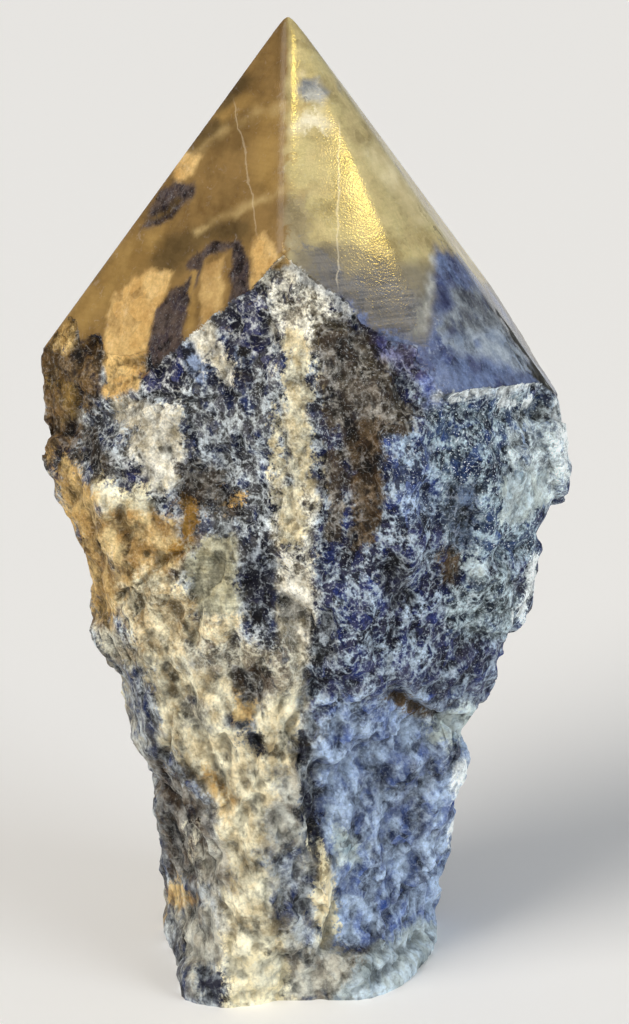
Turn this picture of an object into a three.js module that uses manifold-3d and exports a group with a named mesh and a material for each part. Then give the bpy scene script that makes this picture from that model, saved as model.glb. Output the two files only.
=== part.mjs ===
// Rough sodalite: a broken block of the stone, its top ground and polished to a faceted point.
// Millimetres, +Z up. The origin is the middle of the foot, under the middle of the stone's box.
// The front is towards -Y. Bearings are in degrees from the front, turning towards +X.

import * as THREE from 'three';
import Module from 'manifold-3d';
import { ConvexGeometry } from 'three/addons/geometries/ConvexGeometry.js';
import { ImprovedNoise } from 'three/addons/math/ImprovedNoise.js';
import { mergeVertices } from 'three/addons/utils/BufferGeometryUtils.js';

// ---- driving dimensions -------------------------------------------------------------------

const stoneHeight = 150;        // foot to tip
const roughTop = 122;           // highest place where broken stone can still show
const blockTop = 156;           // the block before its top is ground away

const columns = 96;             // corners round the rough block
const rows = 45;                // rows of them up to roughTop
const cornerShift = 0.5;        // how far a corner strays from its place, in spacings
const squareness = 4;           // 2 would make the level sections ellipses

// How far the rough block reaches from its axis on its four sides, as [height, reach].
const leftReach = [
  [0, 21.5], [8, 23.2], [14, 21.6], [20, 20.5], [24, 21], [28, 22.8], [32, 22.9], [35, 23.2],
  [38, 24.2], [42, 26.6], [50, 29.4], [55, 31.2], [62, 32.6], [67, 33.6], [71, 33.8],
  [74, 36.6], [78, 38.4], [82, 40.6], [87, 42.6], [91, 41.8], [95, 43.4], [99, 43],
  [103, 41], [107, 39], [152, 38],
];
const rightReach = [
  [0, 22.5], [4, 24], [9, 24.8], [17, 24.8], [22, 24.4], [27, 24.3], [31, 25.4], [35, 24.6],
  [40, 26], [45, 29.7], [50, 31.5], [54, 31.2], [58, 35], [61, 36.7], [70, 37], [73, 37.1],
  [76, 38.6], [80, 39.1], [86, 38.8], [92, 38.6], [97, 37.8], [104, 37.8], [152, 37],
];
const frontReach = [
  [0, 19.8], [6, 21.4], [18, 22.2], [32, 22.8], [44, 24.4], [60, 25.6], [78, 25.4],
  [96, 24.4], [110, 23.6], [152, 22],
];
const backReach = [
  [0, 18.4], [6, 20], [20, 20.4], [34, 21.6], [48, 24], [66, 26], [84, 26.2],
  [98, 25], [110, 23.4], [152, 22],
];

// Outline of the foot, as [bearing, reach], and the height over which it gives way to the
// reach of the sides.
const footOutline = [
  [-180, 19.4], [-165, 20.4], [-140, 24.2], [-116, 25.4], [-100, 22.5], [-82, 20.6],
  [-62, 21.4], [-47, 24.1], [-28, 23.6], [-18, 21], [-11, 18.6], [9, 18.5], [30, 21.1],
  [48, 20.9], [68, 20.6], [91, 22], [105, 23.4], [126, 26], [150, 22.4], [180, 19.4],
];
const footRise = 15;

// Broad faces where the block broke flat: bearing and lean of the face's normal in degrees,
// and the distance from the axis at which the face stands at the given height.
const brokenFaces = [
  { bearing: -17, lean: 3.5, distance: 18.7, height: 108 },
  { bearing: 2, lean: 10, distance: 20.9, height: 109 },
  { bearing: 50, lean: -3, distance: 32.1, height: 98 },
  { bearing: -42, lean: 12, distance: 27, height: 99 },
  { bearing: 64, lean: -17, distance: 31.5, height: 52 },
  { bearing: 33, lean: -9, distance: 24.6, height: 60 },
  { bearing: 28, lean: -5, distance: 22.6, height: 26 },
  { bearing: -48, lean: 9, distance: 30.4, height: 84 },
  { bearing: -62, lean: -14, distance: 27.4, height: 50 },
  { bearing: -50, lean: -8, distance: 23.6, height: 24 },
  { bearing: 128, lean: 6, distance: 32, height: 92 },
  { bearing: 146, lean: -8, distance: 25, height: 48 },
  { bearing: 172, lean: 7, distance: 24.2, height: 96 },
  { bearing: -158, lean: -6, distance: 24.4, height: 56 },
  { bearing: -130, lean: 6, distance: 33, height: 90 },
  { bearing: -120, lean: -10, distance: 24.6, height: 40 },
  { bearing: 160, lean: -6, distance: 21.6, height: 20 },
];
const faceFlatness = 0.88;      // 1 would leave the broken faces quite flat

// Ledges: the stone steps in by `depth` below the line and comes back out over `fade`.
// The line runs from one bearing to the other at the two heights.
const ledges = [
  { bearings: [4, 44], heights: [40.5, 45.5], depth: 3.4, fade: 20 },
  { bearings: [44, 82], heights: [45.5, 51], depth: 2.0, fade: 9 },
  { bearings: [-80, -46], heights: [93.5, 95.5], depth: 1.9, fade: 9 },
  { bearings: [-34, -2], heights: [106, 114], depth: 1.4, fade: 10 },
  { bearings: [46, 88], heights: [96.5, 94], depth: 1.5, fade: 7 },
  { bearings: [60, 100], heights: [76, 73.5], depth: 1.8, fade: 6 },
  { bearings: [-98, -58], heights: [37, 33], depth: 2.2, fade: 12 },
  { bearings: [-66, -24], heights: [67, 62], depth: 1.7, fade: 9 },
  { bearings: [112, 170], heights: [78, 70], depth: 2.6, fade: 16 },
  { bearings: [-176, -118], heights: [60, 68], depth: 2.4, fade: 14 },
  { bearings: [-150, -104], heights: [28, 24], depth: 2.0, fade: 10 },
  { bearings: [120, 172], heights: [34, 38], depth: 2.4, fade: 12 },
];

// Creases and ridges along a line in the surface: a crease goes in, a ridge stands out.
const creases = [
  { from: [-18.5, -22, 91], to: [-17, -24, 76], width: 3.2, depth: 1.8 },
  { from: [-27, -19, 61], to: [-20, -23, 67], width: 3, depth: 1.6 },
  { from: [1.5, -24, 41], to: [2.5, -22, 16], width: 3.2, depth: 2.2 },
  { from: [-22, -10, 30], to: [-12, -21, 25], width: 4.4, depth: 1.9 },
  { from: [4, -25, 98], to: [9, -25, 70], width: 4, depth: 1.2 },
  { from: [22, -22, 60], to: [33, -12, 57], width: 2.8, depth: 1.3 },
  { from: [16, -20, 104], to: [22, -24, 72], width: 3.4, depth: 1.3 },
  { from: [12, 26, 92], to: [5, 25, 58], width: 3.6, depth: 1.9 },
  { from: [-14, 24, 84], to: [-20, 20, 44], width: 3.6, depth: 1.8 },
  { from: [-38, 6, 88], to: [-32, 10, 60], width: 3.6, depth: 1.5 },
  { from: [36, 10, 90], to: [31, 12, 56], width: 3.6, depth: 1.6 },
];
const ridges = [
  { from: [-24, -14, 36], to: [-14, -22, 27], width: 4, depth: 1.7 },
  { from: [0, -22, 112], to: [-3, -25, 84], width: 4.5, depth: 1.1 },
  { from: [12, -23, 104], to: [15, -25, 74], width: 4, depth: 1.2 },
  { from: [26, -20, 92], to: [30, -15, 66], width: 5, depth: 1.1 },
  { from: [6, -23, 30], to: [9, -22, 8], width: 5, depth: 1.2 },
  { from: [-8, -23, 34], to: [-6, -22, 6], width: 5, depth: 1.2 },
  { from: [-17, -18, 2], to: [-13, -20, 24], width: 8, depth: 2.5 },
];

// The corner broken off the foot at the front, towards the right.
const brokenCorner = { bearing: 42, lean: -26, distance: 21.4, height: 0 };

// Size of the broken texture: long swells, flat chips and small lumps.
const swell = { size: 24, depth: 0.9 };
const chip = { size: 12.5, depth: 1.5, tilt: 0.26 };
const lump = { size: 6.5, depth: 0.75 };

// The polished point. Its ridges run down from the apex, each with its bearing and its
// spread, which is how far it goes out for each millimetre down.
const apex = new THREE.Vector3(-2, 0, stoneHeight + 0.35);
const pointRidges = [
  { bearing: -2, spread: 0.589 },
  { bearing: 24, spread: 0.585 },
  { bearing: 50, spread: 0.652 },
  { bearing: 79, spread: 0.72 },
  { bearing: 118, spread: 0.805 },
  { bearing: 172, spread: 0.62 },
  { bearing: 220, spread: 0.7 },
  { bearing: 268, spread: 0.752 },
];
// The faces are a little fuller near the top: [drop below the apex, drop that sets the reach].
const pointProfile = [[0.35, 0.7], [2.5, 2.9], [10, 10.4], [28, 28.5], [48, 48.2], [74, 73]];

// ---- helpers ------------------------------------------------------------------------------

const noise = new ImprovedNoise();
const radians = THREE.MathUtils.degToRad;

// The direction of a bearing, level with the ground.
function outward(bearing) {
  return new THREE.Vector3(Math.sin(radians(bearing)), -Math.cos(radians(bearing)), 0);
}

// The reach at any height, or bearing, between the given [height, reach] pairs.
function reachAt(profile, height) {
  let i = 1;
  while (i < profile.length - 1 && profile[i][0] < height) i += 1;
  const [low, lowReach] = profile[i - 1];
  const [high, highReach] = profile[i];
  const t = THREE.MathUtils.clamp((height - low) / (high - low), 0, 1);
  return THREE.MathUtils.lerp(lowReach, highReach, t);
}

// A bearing, or the turn from one to another, brought between -180 and 180.
function wrapped(bearing) {
  return THREE.MathUtils.euclideanModulo(bearing + 180, 360) - 180;
}

// A repeatable number between 0 and 1 for a cell of space.
function cellValue(i, j, k, salt) {
  const wave = Math.sin(i * 127.1 + j * 311.7 + k * 74.7 + salt * 53.3) * 43758.5453;
  return wave - Math.floor(wave);
}

// Flat chips: space is split into cells round scattered seeds, and each cell has a height
// and a tilt of its own, so that neighbouring chips meet in edges and small steps.
function chipHeight(p) {
  const cell = p.clone().divideScalar(chip.size);
  const home = cell.clone().floor();
  let nearest = Infinity;
  let height = 0;
  for (let i = -1; i <= 1; i += 1) {
    for (let j = -1; j <= 1; j += 1) {
      for (let k = -1; k <= 1; k += 1) {
        const corner = new THREE.Vector3(home.x + i, home.y + j, home.z + k);
        const value = (salt) => cellValue(corner.x, corner.y, corner.z, salt);
        const seed = corner.clone().add(new THREE.Vector3(value(1), value(2), value(3)));
        const away = cell.clone().sub(seed);
        if (away.length() >= nearest) continue;
        nearest = away.length();
        const slope = new THREE.Vector3(value(4), value(5), value(6)).subScalar(0.5);
        height = (value(7) - 0.5) * chip.depth + away.dot(slope) * chip.size * chip.tilt;
      }
    }
  }
  return height;
}

function softNoise(p, size, shift) {
  return noise.noise(p.x / size + shift, p.y / size - shift, p.z / size + 2 * shift);
}

// How far along its line, and how near to it, a crease or ridge has point p.
function nearLine(p, { from, to, width }) {
  const line = new THREE.Line3(new THREE.Vector3(...from), new THREE.Vector3(...to));
  const closest = line.closestPointToPoint(p, true, new THREE.Vector3());
  return Math.max(0, 1 - closest.distanceTo(p) / width);
}

// The step that a ledge makes at a bearing and height.
function ledgeDepth(bearing, height, { bearings, heights, depth, fade }) {
  const along = wrapped(bearing - bearings[0]) / wrapped(bearings[1] - bearings[0]);
  if (along < -0.15 || along > 1.15) return 0;
  const below = THREE.MathUtils.lerp(heights[0], heights[1], along) - height;
  const ends = THREE.MathUtils.smoothstep(Math.min(along + 0.15, 1.15 - along), 0, 0.3);
  const step = THREE.MathUtils.smoothstep(below, 0, 2.2);
  return depth * ends * step * (1 - THREE.MathUtils.smoothstep(below, 2.2, fade));
}

// The reach at which a broken face stands, seen from the axis in one direction.
function faceReach(direction, height, { bearing, lean, distance, height: faceHeight }) {
  const level = Math.cos(radians(lean));
  const facing = outward(bearing).dot(direction) * level;
  if (facing < 0.2) return Infinity;
  return (distance * level - (height - faceHeight) * Math.sin(radians(lean))) / facing;
}

// ---- the rough block ----------------------------------------------------------------------

// The reach of the stone's four sides, rounded into one another, then cut by its faces.
function blockReach(bearing, height) {
  const direction = outward(bearing);
  const side = direction.x > 0 ? reachAt(rightReach, height) : reachAt(leftReach, height);
  const face = direction.y < 0 ? reachAt(frontReach, height) : reachAt(backReach, height);
  const share = Math.abs(direction.x / side) ** squareness
    + Math.abs(direction.y / face) ** squareness;
  const round = share ** (-1 / squareness);
  const flat = Math.min(round, ...brokenFaces.map((f) => faceReach(direction, height, f)));
  const whole = THREE.MathUtils.lerp(round, flat, faceFlatness);
  const rise = THREE.MathUtils.smoothstep(height, 0, footRise);
  return THREE.MathUtils.lerp(reachAt(footOutline, wrapped(bearing)), whole, rise);
}

// The broken texture is weaker at the foot, and where the block meets its polished top.
function textureShare(height) {
  const foot = THREE.MathUtils.smoothstep(height, -3, 12);
  const top = THREE.MathUtils.smoothstep(height, 92, 112);
  return foot * (1 - 0.6 * top);
}

// The finished reach: the block with its ledges, creases, ridges and broken texture.
function roughReach(bearing, height) {
  const direction = outward(bearing);
  let reach = blockReach(bearing, height);
  const p = direction.clone().multiplyScalar(reach).setZ(height);
  for (const ledge of ledges) reach -= ledgeDepth(bearing, height, ledge);
  for (const crease of creases) reach -= crease.depth * nearLine(p, crease);
  for (const ridge of ridges) reach += ridge.depth * nearLine(p, ridge);
  const broken = swell.depth * softNoise(p, swell.size, 3.7)
    + lump.depth * softNoise(p, lump.size, 8.1)
    + chipHeight(p);
  reach += broken * textureShare(height);
  return Math.min(reach, faceReach(direction, height, brokenCorner));
}

// A closed cylinder of unit radius whose corners are moved out to the rough surface. Each
// row is turned half a column on from the one below, which keeps the triangles even.
function roughBlock() {
  const block = new THREE.CylinderGeometry(1, 1, rows, columns, rows);
  block.rotateX(Math.PI / 2);
  block.translate(0, 0, rows / 2);
  block.deleteAttribute('normal');
  block.deleteAttribute('uv');
  const merged = mergeVertices(block, 1e-4);
  const corners = merged.getAttribute('position');
  const p = new THREE.Vector3();
  for (let i = 0; i < corners.count; i += 1) {
    p.fromBufferAttribute(corners, i);
    const row = Math.round(p.z);
    const onAxis = Math.hypot(p.x, p.y) < 0.5;
    const level = row === rows ? blockTop : row * (roughTop / (rows - 1));
    if (onAxis) {
      corners.setXYZ(i, 0, 0, level);
      continue;
    }
    const straying = row > 0 && row < rows ? cornerShift : 0;
    const turned = straying * (cellValue(i, 0, row, 11) - 0.5);
    const raised = straying * (cellValue(i, 0, row, 12) - 0.5);
    const twist = (turned - 0.5 * row) * (360 / columns);
    const bearing = THREE.MathUtils.radToDeg(Math.atan2(p.x, -p.y)) + twist;
    const height = level + raised * (roughTop / rows);
    const out = outward(bearing).multiplyScalar(roughReach(bearing, height));
    corners.setXYZ(i, out.x, out.y, height);
  }
  return merged;
}

// ---- the polished point -------------------------------------------------------------------

// The convex solid that grinding leaves: facets that meet at the apex, very slightly full.
function polishedPoint() {
  const points = [];
  for (const [drop, reachDrop] of pointProfile) {
    for (const { bearing, spread } of pointRidges) {
      const p = outward(bearing).multiplyScalar(spread * reachDrop);
      points.push(p.add(apex).setZ(apex.z - drop));
    }
  }
  const foot = -10;
  for (const { bearing, spread } of pointRidges) {
    const [, widest] = pointProfile[pointProfile.length - 1];
    points.push(outward(bearing).multiplyScalar(spread * widest).add(apex).setZ(foot));
  }
  const hull = new ConvexGeometry(points);
  hull.deleteAttribute('normal');
  return mergeVertices(hull, 1e-4);
}

// ---- the stone ----------------------------------------------------------------------------

const wasm = await Module();
wasm.setup();

function solid(geometry) {
  const vertProperties = new Float32Array(geometry.getAttribute('position').array);
  const triVerts = new Uint32Array(geometry.getIndex().array);
  return new wasm.Manifold(new wasm.Mesh({ numProp: 3, vertProperties, triVerts }));
}

function geometryOf(manifold) {
  const { vertProperties, triVerts } = manifold.getMesh();
  const geometry = new THREE.BufferGeometry();
  geometry.setAttribute('position', new THREE.BufferAttribute(vertProperties, 3));
  geometry.setIndex(new THREE.BufferAttribute(triVerts, 1));
  geometry.computeVertexNormals();
  return geometry;
}

// The block less what grinding takes off its top, set with its foot's box over the origin.
function sodalitePoint() {
  const geometry = geometryOf(solid(roughBlock()).intersect(solid(polishedPoint())));
  geometry.computeBoundingBox();
  const middle = geometry.boundingBox.getCenter(new THREE.Vector3());
  geometry.translate(-middle.x, -middle.y, 0);
  const finish = new THREE.MeshStandardMaterial({ color: 0x4a5270, roughness: 0.62, metalness: 0 });
  const mesh = new THREE.Mesh(geometry, finish);
  mesh.name = 'sodalite_point';
  return mesh;
}

const group = new THREE.Group();
group.name = 'rough_sodalite';
group.add(sodalitePoint());

export default group;
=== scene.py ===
import bpy
import math
import random
import numpy as np
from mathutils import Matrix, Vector, kdtree, noise


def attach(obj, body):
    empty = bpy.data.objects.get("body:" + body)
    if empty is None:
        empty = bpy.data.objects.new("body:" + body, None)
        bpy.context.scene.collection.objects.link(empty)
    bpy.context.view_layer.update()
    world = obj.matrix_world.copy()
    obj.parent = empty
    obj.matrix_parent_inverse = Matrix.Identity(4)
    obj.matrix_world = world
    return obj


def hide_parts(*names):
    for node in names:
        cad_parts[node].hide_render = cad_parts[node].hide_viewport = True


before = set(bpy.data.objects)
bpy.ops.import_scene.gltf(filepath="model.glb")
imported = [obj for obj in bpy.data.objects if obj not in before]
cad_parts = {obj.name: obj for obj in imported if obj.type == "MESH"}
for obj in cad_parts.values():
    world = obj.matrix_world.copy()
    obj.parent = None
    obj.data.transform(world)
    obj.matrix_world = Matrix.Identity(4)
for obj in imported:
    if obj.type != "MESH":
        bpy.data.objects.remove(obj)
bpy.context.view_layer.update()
print("frame loaded")

mm = 0.001
noiseSeed = 3   # without it the noise would wander differently in every run
noise.seed_set(noiseSeed)

# The eye that the camera and the layout of the minerals share, in millimetres, degrees and pixels.
frontView = {
    "aim": (-2.4, -0.2, 75.0),
    "distance": 430.0,
    "elevation": 18.0,
    "width": 629,
    "height": 1024,
    "focal": 2790.0,
    "sensor": 36.0,
    "clipStart": 0.01,
    "centre": (289.0, 507.0),  # where the aim point falls in it
}


def deselectAll():
    if bpy.context.object and bpy.context.object.mode != "OBJECT":
        bpy.ops.object.mode_set(mode="OBJECT")
    bpy.ops.object.select_all(action="DESELECT")


def makeActive(piece):
    deselectAll()
    piece.select_set(True)
    bpy.context.view_layer.objects.active = piece


def eyePlace():
    tilt = math.radians(frontView["elevation"])
    back = np.array((0, -math.cos(tilt), math.sin(tilt)))
    return np.array(frontView["aim"]) + back * frontView["distance"], back


def makeCamera():
    v = frontView
    place, _ = eyePlace()
    bpy.ops.object.camera_add(location=place * mm)
    camera = bpy.context.object
    camera.name = "frontCamera"
    camera.rotation_euler = (math.pi / 2 - math.radians(v["elevation"]), 0, 0)
    camera.data.sensor_width = v["sensor"]
    camera.data.lens = v["focal"] * v["sensor"] / v["height"]
    camera.data.shift_x = (v["width"] / 2 - v["centre"][0]) / v["height"]
    camera.data.shift_y = (v["centre"][1] - v["height"] / 2) / v["height"]
    camera.data.clip_start = v["clipStart"]
    bpy.context.scene.camera = camera


# Where points in millimetres fall in the front view, in its pixels.
def frontPixels(points):
    place, back = eyePlace()
    right = np.array((1.0, 0, 0))
    up = np.cross(back, right)
    away = points - place
    depth = -(away @ back)
    across = frontView["centre"][0] + frontView["focal"] * (away @ right) / depth
    down = frontView["centre"][1] - frontView["focal"] * (away @ up) / depth
    return across, down


def mixed(first, second, factor):
    factor = np.asarray(factor)[:, None]
    return first * (1 - factor) + second * factor


def smoothStep(value, low, high):
    t = np.clip((value - low) / (high - low), 0, 1)
    return t * t * (3 - 2 * t)


def nearSegments(across, down, line, closed):
    ends = line[1:] + line[:1] if closed else line[1:]
    for start, end in zip(line, ends):
        x, y = end[0] - start[0], end[1] - start[1]
        along = ((across - start[0]) * x + (down - start[1]) * y) / (x * x + y * y)
        along = np.clip(along, 0, 1)
        away = np.hypot(across - start[0] - along * x, down - start[1] - along * y)
        yield start, end, along, away


def insidePatch(across, down, outline):
    nearest = np.full(len(across), np.inf)
    inside = np.zeros(len(across), bool)
    for start, end, _, away in nearSegments(across, down, outline, True):
        nearest = np.minimum(nearest, away)
        if start[1] != end[1]:
            crossing = (start[1] > down) != (end[1] > down)
            edge = start[0] + (down - start[1]) * (end[0] - start[0]) / (end[1] - start[1])
            inside ^= crossing & (across < edge)
    return np.where(inside, nearest, -nearest)


def insideBand(across, down, line):
    best = np.full(len(across), -np.inf)
    for start, end, along, away in nearSegments(across, down, line, False):
        best = np.maximum(best, start[2] + (end[2] - start[2]) * along - away)
    return best


# A patch is a closed outline of points; a band is a line of points with a half width each.
def outlineDepth(across, down, line):
    return (insidePatch if len(line[0]) == 2 else insideBand)(across, down, line)


stoneShape = {
    "mergeWithin": 0.001,    # points of the solid this near each other become one
    "voxel": 0.62,           # spacing of the fine surface
    "smoothAngle": 40,       # edges flatter than this are shaded smooth
    "facetArea": 18.0,       # a polished facet has at least this many square millimetres
    "tipDistance": 1.6,      # and its plane passes this near the tip
    "facetGroups": (-8, 40, 150),  # bearings that part the facets on the left, front and right
    "groupRounding": ((0.2, 0.95), (0.3, 1.5), (0.2, 0.95)),  # inside a group, at the tip and low
    "goldRidge": (0.12, 0.5),      # between front and right
    "frontRidge": (0.35, 0.55),    # and between these and the left
    "lift": 1.3,             # stone left over on the facets, to be ground off again
    "footFlat": 0.35,        # what lies this low is the flat foot
    "chips": [               # flat chips: spacing, step and tilt, one set inside the other
        {"size": 9.0, "step": 0.4, "tilt": 0.14, "stretch": 1.5, "blend": 0.1, "seed": 3},
        {"size": 4.6, "step": 0.2, "tilt": 0.15, "stretch": 1.4, "blend": 0.12, "seed": 5},
        {"size": 2.2, "step": 0.13, "tilt": 0.2, "stretch": 1.2, "blend": 0.2, "seed": 8},
    ],
    "chipSeeds": ((-40.21, -26.665, 0), (40.175, 26.65, 149.906)),  # they lie between these
    # The finest relief, in metres.
    "lumps": {"size": 0.0030, "strength": 0.00018, "middle": 0.5, "depth": 3},
    "pits": {"size": 0.0026, "strength": 0.00014, "middle": 0.4},
    "chippedDepth": 0.9,     # where the polish is broken away at its rim
    "chippedRim": 3,         # and how soft the edge of that is, in pixels
    "roughFrom": (0.1, 0.7),  # how far below the facets the stone turns rough
    "towardsFront": (0.1, 0.4),  # how much a face must look at the front to take its forms
    "formBend": {"size": 3.4, "seed": 6.6, "reach": 4},  # the wandering of their outlines
    "footKept": (1.0, 5.0),  # the forms fade out between these heights
    "footSmooth": 2.5,       # and the broken relief below this one
    "polishWaves": 0.15,     # how much of that relief the facets get before they are ground
    "facetSteepness": (0.3, 0.8),  # how much a polished facet looks up
    "facetsAbove": 85,       # and how high its middle lies at least
    "sameFacet": 0.9985,     # faces this parallel belong to one facet
    "tipHeight": 150,
    "roundingReach": 50,     # how far below the tip the corners reach their low rounding
    "grindingRounds": 5,
    "hollowRounds": 12,      # smoothing rounds that tell a hollow from a top
}


# Outlines in the front view, in pixels, inside which the rim of the polish is broken away.
brokenAway = {
    "leftRim": [(20, 370), (44, 350), (52, 322), (63, 312), (76, 320), (80, 344), (90, 337), (99, 333),
        (105, 352), (128, 356), (149, 350), (154, 370), (140, 400), (132, 436), (20, 436)],
    "underPatch": [(104, 400), (146, 380), (154, 366), (178, 346), (198, 326), (219, 310), (236, 296),
        (254, 288), (268, 300), (240, 340), (200, 372), (160, 420), (104, 424)],
    "peak": [(283, 252), (300, 267), (320, 282), (338, 290), (352, 301), (350, 330), (300, 330),
        (262, 310), (252, 290), (270, 268)],
    "shoulder": [(350, 300), (361, 322), (388, 337), (419, 344), (430, 352), (434, 374), (447, 394),
        (440, 424), (400, 410), (350, 350)],
    "underCrust": [(444, 394), (470, 388), (500, 386), (547, 380), (566, 384), (560, 420), (440, 420)],
}


# Ledges, cracks and lumps of the front: how far each is pushed out or in, in millimetres,
# how soft its rim is in pixels, and its outline or line in the front view.
frontForms = {
    "lowerFace": (-1.1, 4, [(312, 708), (356, 700), (396, 686), (440, 712), (500, 716), (500, 860),
        (460, 942), (386, 958), (320, 950), (332, 900), (316, 820), (306, 750)]),
    "crease": (-1.0, 4, [(308, 716, 2), (301, 760, 3), (306, 800, 4), (318, 850, 4), (322, 890, 2)]),
    "shadowLedge": (-0.9, 3, [(100, 406, 3), (126, 398, 4), (152, 394, 4), (190, 402, 3),
        (240, 396, 1)]),
    "whiteBlock": (0.8, 4, [(118, 432), (142, 410), (184, 408), (185, 474), (168, 498), (140, 500),
        (114, 452)]),
    "patchFoot": (-1.1, 3, [(100, 402), (130, 398), (138, 412), (122, 424), (104, 424)]),
    "whiteLumpA": (0.8, 6, [(94, 482), (112, 478), (123, 500), (116, 518), (100, 512)]),
    "whiteLumpB": (0.8, 6, [(122, 492), (144, 488), (147, 520), (130, 526)]),
    "darkPocket": (-1.2, 6, [(178, 466), (204, 464), (226, 484), (250, 522), (214, 516), (184, 508)]),
    "leftCrack": (-0.9, 3, [(118, 600, 2), (140, 582, 2), (160, 563, 3), (182, 556, 1)]),
    "amberHollow": (-0.8, 7, [(176, 506), (196, 502), (202, 530), (192, 550), (176, 548)]),
    "oliveBlock": (0.5, 5, [(198, 542), (236, 538), (242, 590), (230, 618), (200, 612)]),
    "creamBlock": (0.6, 5, [(128, 596), (180, 584), (232, 622), (232, 650), (190, 660), (144, 660)]),
    "blackGap": (-1.0, 5, [(314, 614), (332, 610), (336, 656), (318, 662)]),
    "darkLeaf": (-0.6, 6, [(388, 552), (404, 560), (408, 602), (394, 612), (384, 582)]),
    "cleavageA": (-0.6, 3, [(444, 622, 1), (480, 614, 2), (512, 612, 1)]),
    "cleavageB": (-0.6, 3, [(436, 642, 1), (470, 632, 2), (506, 634, 1)]),
    "bulgeNotch": (-0.7, 4, [(506, 470, 1), (520, 455, 2), (548, 446, 1)]),
    "pocketA": (-0.9, 6, [(232, 670), (256, 668), (268, 690), (256, 704), (238, 698)]),
    "pocketB": (-1.0, 5, [(230, 722), (248, 720), (262, 740), (258, 752), (240, 742)]),
    "foldA": (-0.8, 5, [(240, 700, 2), (264, 724, 3), (284, 760, 3), (292, 800, 2)]),
    "foldB": (-0.8, 5, [(172, 690, 2), (196, 722, 3), (214, 764, 3), (230, 806, 2)]),
    "foldRidge": (0.8, 6, [(214, 700, 4), (240, 740, 6), (262, 790, 5)]),
    "leftRidge": (0.8, 4, [(152, 746, 3), (184, 776, 4), (208, 802, 2)]),
    "shell": (0.7, 3, [(53, 322), (64, 314), (76, 322), (77, 346), (60, 352)]),
    "creamCrackA": (-0.5, 2, [(103, 374, 1), (120, 363, 1), (140, 359, 1)]),
    "creamCrackB": (-0.5, 2, [(105, 388, 1), (124, 383, 1), (146, 366, 1)]),
    "leftRecess": (-1.0, 6, [(156, 762), (184, 790), (212, 812), (222, 856), (204, 880), (160, 880)]),
    "greyRecess": (-0.9, 7, [(268, 850), (298, 848), (314, 880), (308, 916), (280, 914)]),
    "streakRidge": (0.8, 4, [(320, 850, 2), (328, 890, 5), (324, 940, 3)]),
    "peakLip": (0.5, 3, [(283, 256, 3), (300, 266, 3), (320, 284, 3), (340, 298, 2)]),
    "chippedFoot": (-1.3, 6, [(426, 932), (396, 962), (344, 992), (400, 1010), (450, 960)]),
    "rightShoulder": (-0.8, 6, [(312, 318, 2), (350, 330, 5), (392, 372, 5), (424, 400, 3)]),
    "veinSide": (-0.5, 4, [(286, 430, 1), (286, 470, 2), (290, 494, 1)]),
    "brownHollow": (-0.7, 8, [(356, 440), (386, 440), (386, 530), (352, 536)]),
    "waistShadow": (-0.9, 5, [(392, 694, 3), (414, 710, 5), (440, 720, 4)]),
}


def noiseVectors(points, size, shift):
    away = Vector((shift, 2 * shift, 3 * shift))
    return np.array([noise.noise_vector(Vector(p) / size + away) for p in points])


def copyOfNode(name):
    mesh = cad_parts[name].data.copy()
    piece = bpy.data.objects.new("sodalite_stone", mesh)
    bpy.context.scene.collection.objects.link(piece)
    makeActive(piece)
    bpy.ops.object.mode_set(mode="EDIT")
    bpy.ops.mesh.select_all(action="SELECT")
    bpy.ops.mesh.remove_doubles(threshold=stoneShape["mergeWithin"] * mm)
    bpy.ops.object.mode_set(mode="OBJECT")
    return piece


def coordinates(mesh):
    flat = np.empty(len(mesh.vertices) * 3)
    mesh.vertices.foreach_get("co", flat)
    return flat.reshape(-1, 3) / mm


def setCoordinates(mesh, points):
    mesh.vertices.foreach_set("co", (points * mm).ravel())
    mesh.update()


def vertexNormals(mesh):
    flat = np.empty(len(mesh.vertices) * 3, np.float32)
    mesh.vertex_normals.foreach_get("vector", flat)
    return flat.reshape(-1, 3).astype(float)


# The planes of the polished facets: wide flat faces of the solid that are aimed at its tip.
def polishedPlanes(piece):
    v = stoneShape
    mesh = piece.data
    points = coordinates(mesh)
    tip = points[points[:, 2].argmax()]
    families = []
    for face in mesh.polygons:
        normal = np.array(face.normal)
        centre = np.array(face.center) / mm
        reach = abs(normal @ (tip - centre))
        low, high = v["facetSteepness"]
        if reach > v["tipDistance"] or not low < normal[2] < high or centre[2] < v["facetsAbove"]:
            continue
        area = face.area / mm / mm
        for family in families:
            if family["sum"] @ normal / np.linalg.norm(family["sum"]) > v["sameFacet"]:
                break
        else:
            family = {"sum": np.zeros(3), "area": 0.0, "offset": 0.0}
            families.append(family)
        family["sum"] += normal * area
        family["offset"] += normal @ centre * area
        family["area"] += area
    planes = []
    for family in families:
        if family["area"] < v["facetArea"]:
            continue
        normal = family["sum"] / np.linalg.norm(family["sum"])
        planes.append((*normal, family["offset"] / family["area"]))
        bearing = math.degrees(math.atan2(normal[0], -normal[1]))
        print("facet", round(bearing), "degrees round from the front")
    return np.array(planes)


def softMost(depths, soft):
    most = depths.max(1, keepdims=True)
    weight = np.exp((depths - most) / soft)
    total = weight.sum(1, keepdims=True)
    return most + soft * np.log(total), weight / total


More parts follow.
